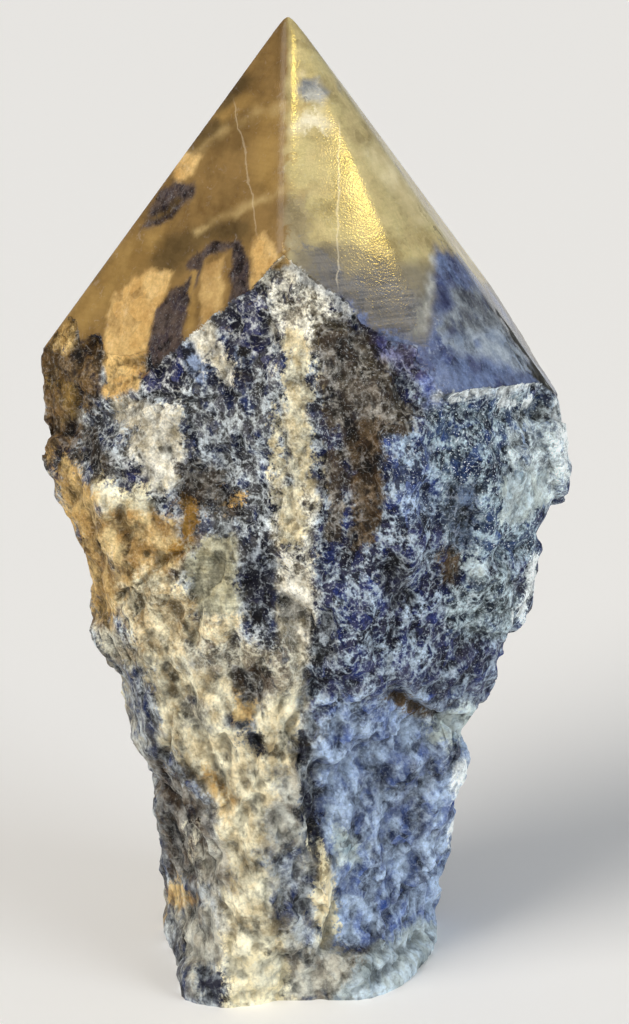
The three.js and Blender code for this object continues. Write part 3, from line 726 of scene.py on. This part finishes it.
# Thin pale veins that run down the facets, with half widths in pixels.
thinVeins = [
    {"line": [(233, 97), (236, 115), (241, 132), (245, 150), (250, 178), (251, 205), (256, 222),
        (258, 238)], "width": 0.17},
    {"line": [(340, 120), (338, 150), (337, 180), (339, 215), (338, 250), (338, 290)],
     "width": 0.3},
]

layout = {
    "reach": 10.0,       # how far from its outline a mineral is still kept apart, in pixels
    "cutScale": 6.4,     # pixels in a millimetre
    "cutSoftness": 1.3,  # of the rim of the polish
    "ragged": 1.5,       # noise moves an outline by its softness and this much more
    "raggedMost": 8,     # but no more than this
    "settling": (0.4, 0.9),  # where a mineral turns into what lies under the next, in reaches
    "coarse": (5.0, 9.1),    # size of the noise in millimetres, and its seed
    "fine": (1.7, 5.3),
    "edge": (0.6, 0.9),      # how much both count in moving an outline in or out
    "brokenBend": (4, 3),    # and how far they move the layout, in pixels
    "polishBend": (4, 2.5),
    "polishEdge": 0.7,       # how much less ragged the outlines in the polish are
    "veinFar": 60.0,         # beyond this a vein no longer counts, in pixels
    "veinEnds": (6, 14),     # the veins taper over this much outside and inside their ends
    "deepest": 2.0,          # heights and depths are kept up to this, in millimetres
}

hiddenSides = {
    "start": 4.0,        # how far back the layout of the front is kept, in millimetres
    "end": 12.0,
    "lower": 42.0,       # how much lower it lies behind that, in pixels
    "wander": 75.0,      # how far it wanders there, in pixels
    "size": 21.0,        # size of the wandering, in millimetres
    "seed": 3.7,
    "polishStart": 1.2,  # the same for the polish, whose corners are turned a little
    "polishEnd": 5.5,
    "polishTurn": 0.09,
    "narrower": 0.35,    # by how much the layout is narrowed behind
    "fade": 15.0,        # how much smaller the polish's patches are there, in pixels
    "fadeSoftest": 9,    # those with softer outlines keep their size
}


# A screen colour in the linear values that the material mixes.
def screenColour(colour):
    values = np.array(colour) / 255
    return np.where(values < 0.04045, values / 12.92, ((values + 0.055) / 1.055) ** 2.4)


mineralParts = ("Pale", "Dark", "Stain", "Mix", "Lie")   # three numbers each


def mineralValues(name):
    pale, dark, stain, share, stained, net, paintedGlints, lie = minerals[name]
    colours = [screenColour(colour) for colour in (pale, dark, stain)]
    return np.concatenate(colours + [[share, net, paintedGlints], [*grainLies[lie], stained]])


# Each point keeps what lies under the nearest outline, what lies inside it, how far inside the
# point is and how soft the outline is, so that the finish can break the outline up finely.
def layMinerals(base, zones, across, down, edgeNoise, fade=0):
    v = layout
    reach = v["reach"]
    under = base
    over = base.copy()
    inside = np.full(len(base), -reach)
    softness = np.ones(len(base))
    for mineral, soft, line in zones.values():
        depth = outlineDepth(across, down, line) + edgeNoise * min(soft + v["ragged"], v["raggedMost"])
        depth = depth - fade * (soft <= hiddenSides["fadeSoftest"])
        near = depth > -reach
        settled = mixed(under[near], over[near], smoothStep(inside[near], -softness[near],
                        softness[near]))
        values = np.tile(mineralValues(mineral), (near.sum(), 1))
        depth = depth[near]
        under[near] = mixed(settled, values, smoothStep(depth / reach, *v["settling"]))
        over[near] = values
        inside[near] = np.where(depth < reach, depth, -reach)
        softness[near] = soft
    return under, over, inside, softness


def resolved(layers):
    under, over, inside, softness = layers
    return mixed(under, over, smoothStep(inside, -softness, softness))


# The distance across the thin veins, with a sign that changes at every vein only.
def acrossVeins(across, down, veins):
    outer, inner = layout["veinEnds"]
    nearest = np.full(len(across), layout["veinFar"])
    sign = np.ones(len(across))
    shown = np.zeros(len(across))
    for values in veins:
        knots = values["line"]
        away = across - np.interp(down, [k[1] for k in knots], [k[0] for k in knots])
        closer = abs(away) < nearest
        span = smoothStep(down, knots[0][1] - outer, knots[0][1] + inner)
        span *= 1 - smoothStep(down, knots[-1][1] - inner, knots[-1][1] + outer)
        shown = np.where(closer, span * values["width"], shown)
        nearest = np.where(closer, abs(away), nearest)
        sign *= np.sign(away)
    return nearest * sign, shown


def addAttribute(mesh, name, values):
    attribute = mesh.attributes.new(name, "FLOAT_VECTOR", "POINT")
    attribute.data.foreach_set("vector", values.astype(np.float32).ravel())


# Where a point lies in the layout, which narrows, drops and wanders on the hidden sides.
def laidBehind(points, behind, wander):
    v = hiddenSides
    across, down = frontPixels(points)
    middle = frontView["centre"][0]
    across = middle + (across - middle) * (1 - v["narrower"] * behind) + wander[:, 0] * behind
    return across, down + (wander[:, 2] - v["lower"]) * behind


def paintStone(stone, ground, relief):
    mesh = stone.data
    points = coordinates(mesh)
    v = hiddenSides
    wander = noiseVectors(points, v["size"], v["seed"]) * v["wander"]
    coarse, fine = noiseVectors(points, *layout["coarse"]), noiseVectors(points, *layout["fine"])
    edgeNoise = coarse[:, 0] * layout["edge"][0] + fine[:, 0] * layout["edge"][1]

    def bent(behind, bend):
        moved = coarse * bend[0] + fine * bend[1]
        across, down = laidBehind(points, behind, wander)
        return across + moved[:, 1], down + moved[:, 2]

    behind = smoothStep(points[:, 1], v["start"], v["end"])
    across, down = bent(behind, layout["brokenBend"])
    base = np.tile(mineralValues("blueGrey"), (len(points), 1))
    broken = layMinerals(base, brokenZones, across, down, edgeNoise)

    turned = points[:, 1] + v["polishTurn"] * points[:, 0]
    behind = smoothStep(turned, v["polishStart"], v["polishEnd"])
    across, down = bent(behind, layout["polishBend"])
    base = np.tile(mineralValues("tanGlass"), (len(points), 1))
    polished = layMinerals(base, polishedZones, across, down, edgeNoise * layout["polishEdge"],
                           v["fade"] * behind)

    # The rim of the polish is the last outline laid.
    cut = ground * layout["cutScale"]
    rim = abs(cut) < layout["reach"]
    layers = [np.where(cut > 0, one.T, other.T).T for one, other in zip(polished, broken)]
    under, over, inside, softness = layers
    settling = smoothStep(cut[rim] / layout["reach"], *layout["settling"])
    under[rim] = mixed(resolved(broken)[rim], resolved(polished)[rim], settling)
    over[rim] = resolved(polished)[rim]
    inside[rim] = cut[rim]
    softness[rim] = layout["cutSoftness"]

    _, down = laidBehind(points, behind, wander)
    veinAway, veinShown = acrossVeins(across, down, thinVeins)
    for side, values in (("under", under), ("over", over)):
        for index, part in enumerate(mineralParts):
            addAttribute(mesh, side + part, values[:, 3 * index:3 * index + 3])
    most = layout["deepest"]
    surface = np.stack([np.clip(ground, -most, most), np.clip(relief, -most, most), inside], 1)
    addAttribute(mesh, "surface", surface)
    addAttribute(mesh, "veins", np.stack([veinAway, veinShown * (1 - behind), softness], 1))


stoneFinish = {
    "crystal": 1.9,        # millimetres across a crystal
    "grain": 0.62,
    "web": 2.4,            # millimetres between the crinkled pale threads
    "fineWeb": 1.1,
    "blotch": 2.1,
    "blotchLength": 1.9,   # times longer than wide
    "lean": 18.0,          # degrees from upright
    "grit": 0.5,
    "streak": 0.6,         # across the grain of the stone
    "streakLength": 5.0,   # times longer than wide
    "slant": 40.0,         # degrees from upright
    "cloud": 6.0,
    "speck": 0.3,
    "polishLines": (0.14, 0.14, 2.0),  # in a millimetre, along each axis
    "bend": 1.1,           # how far the crystals' outlines wander
    "veinWave": 9.0,       # and the thin veins
    "grainBump": 0.2,      # millimetres
    # How much each part of the pattern counts.
    "ragged": {"blotch": 30.0, "grit": 26.0},
    "tone": {"web": 0.3, "grain": 0.06, "fineWeb": 0.2, "blotch": 0.2, "streak": 0.1,
             "grit": 0.14, "cloud": 0.16},
    "calmTone": {"blotch": 0.44, "cloud": 0.36, "streak": 0.3},
    "tint": {"crystal": 0.4, "grit": 1.6, "speck": 2.0, "streak": 0.8},
    "height": {"grain": 0.5, "grit": 1.2, "fineWeb": 0.4, "web": 0.4, "streak": 1.0},
    "polishHeight": 0.14,
    "tintMiddle": 2.4,
    "stainStrength": 1.6,
    "fineThread": 0.6,
    "veinStrength": 0.6,
    # From where to where a value is stretched, and what it is at either end.
    "polishStarts": (0.0, 0.12),          # above the ground shape, in millimetres
    "crisp": (42.0, 66.0, 0.3, 1.0),      # the finest grain, by the height in millimetres
    "sharpOutline": (0.0, 2.5, 0.2, 1.0),
    "outline": 0.8,                       # of its softness, to both sides
    "webRange": (0.7, 1.65),
    "blotchRange": (0.35, 0.65),
    "noiseRange": (0.3, 0.7),
    "cloudRange": (0.34, 0.66),
    "toneRange": (0.32, 0.84),
    "calmRange": (0.17, 0.93),
    "netTone": (0.1, 0.7, 0.3, 1.0),
    "netTint": (0.0, 0.8, 0.3, 1.0),
    "netCloudy": (0.3, 0.0),
    "levelLines": (0.5, 0.9),
    "darkCrystals": (0.0, 1.0, 0.25, 1.6),
    "stainBlotch": (0.62, 0.42),
    "stainCrystals": (0.0, 0.6, 0.3, 1.0),
    "cloudTint": (0.0, 1.0, 0.86, 1.14),
    # painted shade: darker in the gaps between grains
    "gapTint": (0.5, 0.9, 1.0, 0.72),
    # painted shade: darker where a point lies in a hollow of the relief
    "hollowTint": (-0.28, 0.12, 0.5, 1.08),
    "polishGrit": (0.0, 0.2, 0.2, 0.9),
    "polishTint": (0.3, 0.7, 0.96, 1.04),
    "threadWeb": (1.46, 1.68),
    "threadBlotch": (0.36, 0.56),
    "wisp": (0.48, 0.62, 0.0, 0.2),
    # painted glints: where the bright specks show
    "speckRange": (0.64, 0.72),
    "veinEdge": (1.3, 0.0),
    "veinShown": (0.0, 0.3),
    "brokenRoughness": (0.0, 1.0, 0.36, 0.68),
    "polishRoughness": (0.3, 0.7, 0.16, 0.21),
    "netRoughness": (0.5, 1.0),
    "edgeRoughness": 0.7,
    "calmHeight": 0.7,
    # Colours, and how much of them is mixed in.
    "threadColour": (0.82, 0.86, 0.9, 1),
    "threadMix": 0.4,
    # painted glints: colour of the bright specks
    "speckColour": (0.82, 0.87, 0.92, 1),
    "veinColour": (0.95, 0.84, 0.62, 1),
    "veinMix": 0.5,
    "gloss": 0.13,
}


class NodeSheet:
    def __init__(self, tree):
        self.tree = tree

    def put(self, kind, values, output=0, **settings):
        node = self.tree.nodes.new(kind)
        for name, value in settings.items():
            setattr(node, name, value)
        for key, value in values.items():
            if isinstance(value, bpy.types.NodeSocket):
                self.tree.links.new(value, node.inputs[key])
            else:
                node.inputs[key].default_value = value
        return node.outputs[output]

    def math(self, operation, *values, clamp=False):
        inputs = dict(enumerate(values))
        return self.put("ShaderNodeMath", inputs, operation=operation, use_clamp=clamp)

    def times(self, one, other):
        return self.math("MULTIPLY", one, other)

    # The sum of the named values, each by its weight.
    def total(self, values, weights):
        added = 0.0
        for name, weight in weights.items():
            added = self.math("MULTIPLY_ADD", values[name], weight, added)
        return added

    def ramp(self, value, low, high, start=0.0, end=1.0):
        inputs = {"Value": value, "From Min": low, "From Max": high, "To Min": start, "To Max": end}
        return self.put("ShaderNodeMapRange", inputs, interpolation_type="SMOOTHSTEP")

    def mix(self, factor, first, second, blend="MIX"):
        settings = {"data_type": "RGBA", "blend_type": blend}
        return self.put("ShaderNodeMix", {0: factor, 6: first, 7: second}, 2, **settings)

    def blend(self, factor, first, second):
        return self.put("ShaderNodeMix", {0: factor, 2: first, 3: second}, 0, data_type="FLOAT")

    def split(self, vector):
        return self.put("ShaderNodeSeparateXYZ", {0: vector}, 0).node.outputs

    def vector(self, operation, values):
        return self.put("ShaderNodeVectorMath", values, operation=operation)

    def scaled(self, vector, factors):
        return self.vector("MULTIPLY", {0: vector, 1: factors})

    # Turned from upright by some degrees, and measured in pieces of this width and length.
    def turned(self, vector, degrees, width, length):
        inputs = {"Vector": vector, "Scale": (width, width, length),
                  "Rotation": (0, -math.radians(degrees), 0)}
        return self.put("ShaderNodeMapping", inputs, vector_type="TEXTURE")

    def noise(self, vector, size, detail, roughness):
        inputs = {"Vector": vector, "Scale": 1 / size, "Detail": detail, "Roughness": roughness}
        return self.put("ShaderNodeTexNoise", inputs)

    # Crinkled threads.
    def web(self, vector, size):
        inputs = {"Vector": vector, "Scale": 1 / size, "Detail": 3.0, "Roughness": 0.5,
                  "Offset": 1.0, "Gain": 2.0}
        return self.put("ShaderNodeTexNoise", inputs, noise_type="RIDGED_MULTIFRACTAL")

    def cells(self, vector, size):
        return self.put("ShaderNodeTexVoronoi", {"Vector": vector, "Scale": 1 / size}, "Color")

    def attribute(self, name):
        return self.put("ShaderNodeAttribute", {}, "Vector", attribute_name=name)


def makeStoneMaterial():
    v = stoneFinish
    material = bpy.data.materials.new("sodaliteStone")
    material.use_nodes = True
    tree = material.node_tree
    shader = tree.nodes["Principled BSDF"]
    s = NodeSheet(tree)
    place = s.put("ShaderNodeTexCoord", {}, "Object")
    place = s.scaled(place, (1 / mm, 1 / mm, 1 / mm))
    ground, relief, inside = s.split(s.attribute("surface"))
    veinAway, veinShown, softness = s.split(s.attribute("veins"))
    polished = s.ramp(ground, *v["polishStarts"])
    broken = s.math("SUBTRACT", 1.0, polished)

    # The finest breaking up of an outline, then what shows on either side of it.
    leaning = s.turned(place, v["lean"], v["blotch"], v["blotch"] * v["blotchLength"])
    blotch = s.put("ShaderNodeTexNoise", {"Vector": leaning, "Scale": 1.0, "Detail": 5.0,
                   "Roughness": 0.6}, "Color")
    firstBlotch, secondBlotch, thirdBlotch = s.split(blotch)
    grit = s.noise(place, v["grit"], 3.0, 0.7)
    ragged = s.total({"blotch": firstBlotch, "grit": grit}, v["ragged"])
    ragged = s.math("SUBTRACT", ragged, sum(v["ragged"].values()) / 2)
    ragged = s.times(ragged, s.ramp(softness, *v["sharpOutline"]))
    over = s.math("ADD", inside, ragged)
    over = s.ramp(over, s.times(softness, -v["outline"]), s.times(softness, v["outline"]))
    values = {}
    for name in mineralParts:
        sides = {0: over, 4: s.attribute("under" + name), 5: s.attribute("over" + name)}
        values[name] = s.put("ShaderNodeMix", sides, 1, data_type="VECTOR")
    pale, dark, stain = values["Pale"], values["Dark"], values["Stain"]
    share, net, paintedGlints = s.split(values["Mix"])
    isDown, isLevel, stained = s.split(values["Lie"])

    # The grain of the stone: streaks that run down, level or aslant.
    width, length = v["streak"], v["streak"] * v["streakLength"]
    across, along = 1 / width, 1 / length
    runsDown = s.noise(s.scaled(place, (across, across, along)), 1.0, 3.0, 0.6)
    runsLevel = s.noise(s.scaled(place, (along, along, across)), 1.0, 3.0, 0.6)
    runsAslant = s.noise(s.turned(place, v["slant"], width, length), 1.0, 3.0, 0.6)
    streak = s.blend(isDown, s.blend(isLevel, runsAslant, runsLevel), runsDown)

    # Crystals with a wandering outline, each pale or dark, and finer grains.
    bent = s.vector("MULTIPLY_ADD", {0: blotch, 1: (v["bend"],) * 3, 2: place})
    _, crystalTint, crystalDark = s.split(s.cells(bent, v["crystal"]))
    grains = s.cells(place, v["grain"])
    grainGap = grains.node.outputs["Distance"]
    grain, grainShine, _ = s.split(grains)
    web, fineWeb = s.web(bent, v["web"]), s.web(bent, v["fineWeb"])
    speck = s.noise(place, v["speck"], 1.0, 0.5)
    crisp = s.ramp(s.split(place)[2], *v["crisp"])
    cloud = s.ramp(s.noise(place, v["cloud"], 5.0, 0.6), *v["cloudRange"])
    parts = {"web": web, "fineWeb": fineWeb, "grain": grain, "streak": streak, "grit": grit,
             "speck": speck, "crystal": crystalTint}
    clear = {"grain": grain, "cloud": cloud, "blotch": s.ramp(secondBlotch, *v["blotchRange"])}
    for name, stretch in (("web", "webRange"), ("fineWeb", "webRange"), ("streak", "noiseRange"),
                          ("grit", "noiseRange")):
        clear[name] = s.ramp(parts[name], *v[stretch])
    tone = s.ramp(s.total(clear, v["tone"]), *v["toneRange"])
    calmTone = s.ramp(s.total({**clear, "streak": streak}, v["calmTone"]), *v["calmRange"])
    tone = s.blend(s.times(s.ramp(net, *v["netTone"]), crisp), calmTone, tone)
    brokenPale = s.math("POWER", tone, s.math("LOGARITHM", share, 0.5))
    lines = s.noise(s.scaled(place, v["polishLines"]), 1.0, 4.0, 0.6)
    cloud = s.blend(s.ramp(isLevel, *v["levelLines"]), cloud, s.ramp(lines, *v["cloudRange"]))
    cloudy = s.times(polished, s.ramp(net, *v["netCloudy"]))
    isPale = s.blend(cloudy, brokenPale, cloud)
    darkTone = s.blend(cloudy, s.ramp(crystalDark, *v["darkCrystals"]), 1.0)
    colour = s.mix(isPale, s.vector("SCALE", {0: dark, 3: darkTone}), pale)
    stainMask = s.ramp(thirdBlotch, *v["stainBlotch"])
    stainMask = s.times(stainMask, s.ramp(crystalDark, *v["stainCrystals"]))
    stained = s.times(stained, v["stainStrength"])
    colour = s.mix(s.math("MULTIPLY", stainMask, stained, clamp=True), colour, stain)

    # Each grain a little lighter or darker, with painted shade in the gaps between grains and in the
    # hollows, pale threads, and bright specks that are painted glints.
    tint = s.math("SUBTRACT", s.total(parts, v["tint"]), v["tintMiddle"])
    strength = s.times(s.ramp(net, *v["netTint"]), crisp)
    tint = s.math("MULTIPLY_ADD", tint, strength, s.ramp(cloud, *v["cloudTint"]))
    # painted shade: the colour is darkened in the gaps between grains
    tint = s.times(tint, s.ramp(grainGap, *v["gapTint"]))
    # painted shade: the colour is darkened in the hollows of the relief
    tint = s.times(tint, s.ramp(relief, *v["hollowTint"]))
    polishTint = s.times(s.math("SUBTRACT", grit, 0.5), s.ramp(net, *v["polishGrit"]))
    polishTint = s.math("ADD", polishTint, s.ramp(lines, *v["polishTint"]))
    tint = s.blend(polished, tint, polishTint)
    grey = s.put("ShaderNodeCombineXYZ", {0: tint, 1: tint, 2: tint})
    colour = s.mix(1.0, colour, grey, "MULTIPLY")
    thread = s.times(s.ramp(web, *v["threadWeb"]), s.ramp(firstBlotch, *v["threadBlotch"]))
    fineThread = s.times(s.ramp(fineWeb, *v["threadWeb"]), v["fineThread"])
    thread = s.math("MAXIMUM", thread, fineThread)
    wisp = s.ramp(thirdBlotch, *v["wisp"])
    thread = s.times(thread, s.blend(polished, s.times(net, crisp), wisp))
    colour = s.mix(thread, colour, s.mix(v["threadMix"], pale, v["threadColour"]))
    # painted glints: bright specks mixed into the colour
    paintedGlintMask = s.times(s.ramp(speck, *v["speckRange"]), s.times(paintedGlints, crisp))
    colour = s.mix(paintedGlintMask, colour, v["speckColour"])

    # Thin veins on the polish.
    wave = s.math("MULTIPLY_ADD", secondBlotch, v["veinWave"], -v["veinWave"] / 2)
    veinPlace = s.math("ABSOLUTE", s.math("ADD", veinAway, wave))
    vein = s.ramp(s.math("SUBTRACT", veinPlace, veinShown), *v["veinEdge"])
    vein = s.times(s.times(vein, polished), s.ramp(veinShown, *v["veinShown"]))
    veinColour = s.mix(v["veinMix"], pale, v["veinColour"])
    colour = s.mix(s.times(vein, v["veinStrength"]), colour, veinColour)
    tree.links.new(colour, shader.inputs["Base Color"])

    polishRough = s.ramp(lines, *v["polishRoughness"])
    polishRough = s.blend(s.ramp(net, *v["netRoughness"]), polishRough, v["edgeRoughness"])
    rough = s.blend(polished, s.ramp(grainShine, *v["brokenRoughness"]), polishRough)
    tree.links.new(rough, shader.inputs["Roughness"])

    height = s.times(s.total(parts, v["height"]), broken)
    height = s.times(height, s.blend(v["calmHeight"], 1.0, crisp))
    height = s.math("MULTIPLY_ADD", s.times(speck, v["polishHeight"]), polished, height)
    bump = s.put("ShaderNodeBump", {"Height": height, "Strength": 1.0,
                 "Distance": v["grainBump"] * mm})
    tree.links.new(bump, shader.inputs["Normal"])
    shader.inputs["Specular IOR Level"].default_value = v["gloss"]
    return material


studio = {
    "floorSize": 12.0,
    "floorTone": 0.96,
    "floorRoughness": 0.9,
    "sky": (1, 1, 1, 1),
    "skyStrength": 0.3,
    "suns": [        # soft lights far away: towards them, softness in degrees, strength
        {"name": "warmLight", "towards": (-0.6, -0.5, 0.66), "soft": 34, "strength": 2.1,
         "color": (1.0, 0.94, 0.85)},
        {"name": "coolLight", "towards": (0.82, -0.55, 0.34), "soft": 34, "strength": 1.3,
         "color": (0.88, 0.94, 1.0)},
    ],
    "glints": [      # small lamps close by that only the gloss shows: bearing, height, distance
        {"name": "goldLamp", "bearing": 54, "height": 46, "away": 0.124, "size": 0.01,
         "power": 0.14, "color": (1.0, 0.69, 0.14)},
        {"name": "ridgeLamp", "bearing": 20, "height": 61, "away": 0.12, "size": 0.01,
         "power": 0.11, "color": (1.0, 0.74, 0.14)},
    ],
    "glintAim": (0.01, -0.012, 0.118),
}


def makeStudio():
    bpy.ops.mesh.primitive_plane_add(size=studio["floorSize"])
    floor = bpy.context.object
    floor.name = "floor"
    paint = bpy.data.materials.new("paleFloor")
    paint.use_nodes = True
    surface = paint.node_tree.nodes["Principled BSDF"]
    tone = studio["floorTone"]
    surface.inputs["Base Color"].default_value = (tone, tone, tone, 1)
    surface.inputs["Roughness"].default_value = studio["floorRoughness"]
    floor.data.materials.append(paint)
    for values in studio["suns"]:
        bpy.ops.object.light_add(type="SUN")
        lamp = bpy.context.object
        lamp.name = values["name"]
        lamp.data.energy = values["strength"]
        lamp.data.angle = math.radians(values["soft"])
        lamp.data.color = values["color"]
        lamp.rotation_euler = Vector(values["towards"]).to_track_quat("Z", "Y").to_euler()
    for values in studio["glints"]:
        turn, rise = math.radians(values["bearing"]), math.radians(values["height"])
        towards = Vector((math.sin(turn), -math.cos(turn), math.tan(rise))).normalized()
        place = Vector(studio["glintAim"]) + towards * values["away"]
        bpy.ops.object.light_add(type="AREA", location=place)
        lamp = bpy.context.object
        lamp.name = values["name"]
        lamp.data.size = values["size"]
        lamp.data.energy = values["power"]
        lamp.data.color = values["color"]
        lamp.visible_camera = False
        lamp.visible_diffuse = False
        lamp.rotation_euler = towards.to_track_quat("Z", "Y").to_euler()
    world = bpy.data.worlds.new("studioSky")
    world.use_nodes = True
    world.node_tree.nodes["Background"].inputs["Color"].default_value = studio["sky"]
    world.node_tree.nodes["Background"].inputs["Strength"].default_value = studio["skyStrength"]
    bpy.context.scene.world = world
    bpy.context.scene.view_settings.view_transform = "Standard"


makeCamera()
stone, ground, relief = makeStone()
paintStone(stone, ground, relief)
print("minerals laid")
makeActive(stone)
bpy.ops.object.shade_smooth_by_angle(angle=math.radians(stoneShape["smoothAngle"]))
stone.data.materials.clear()
stone.data.materials.append(makeStoneMaterial())
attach(stone, "root")
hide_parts("sodalite_point")
makeStudio()
print("studio ready")
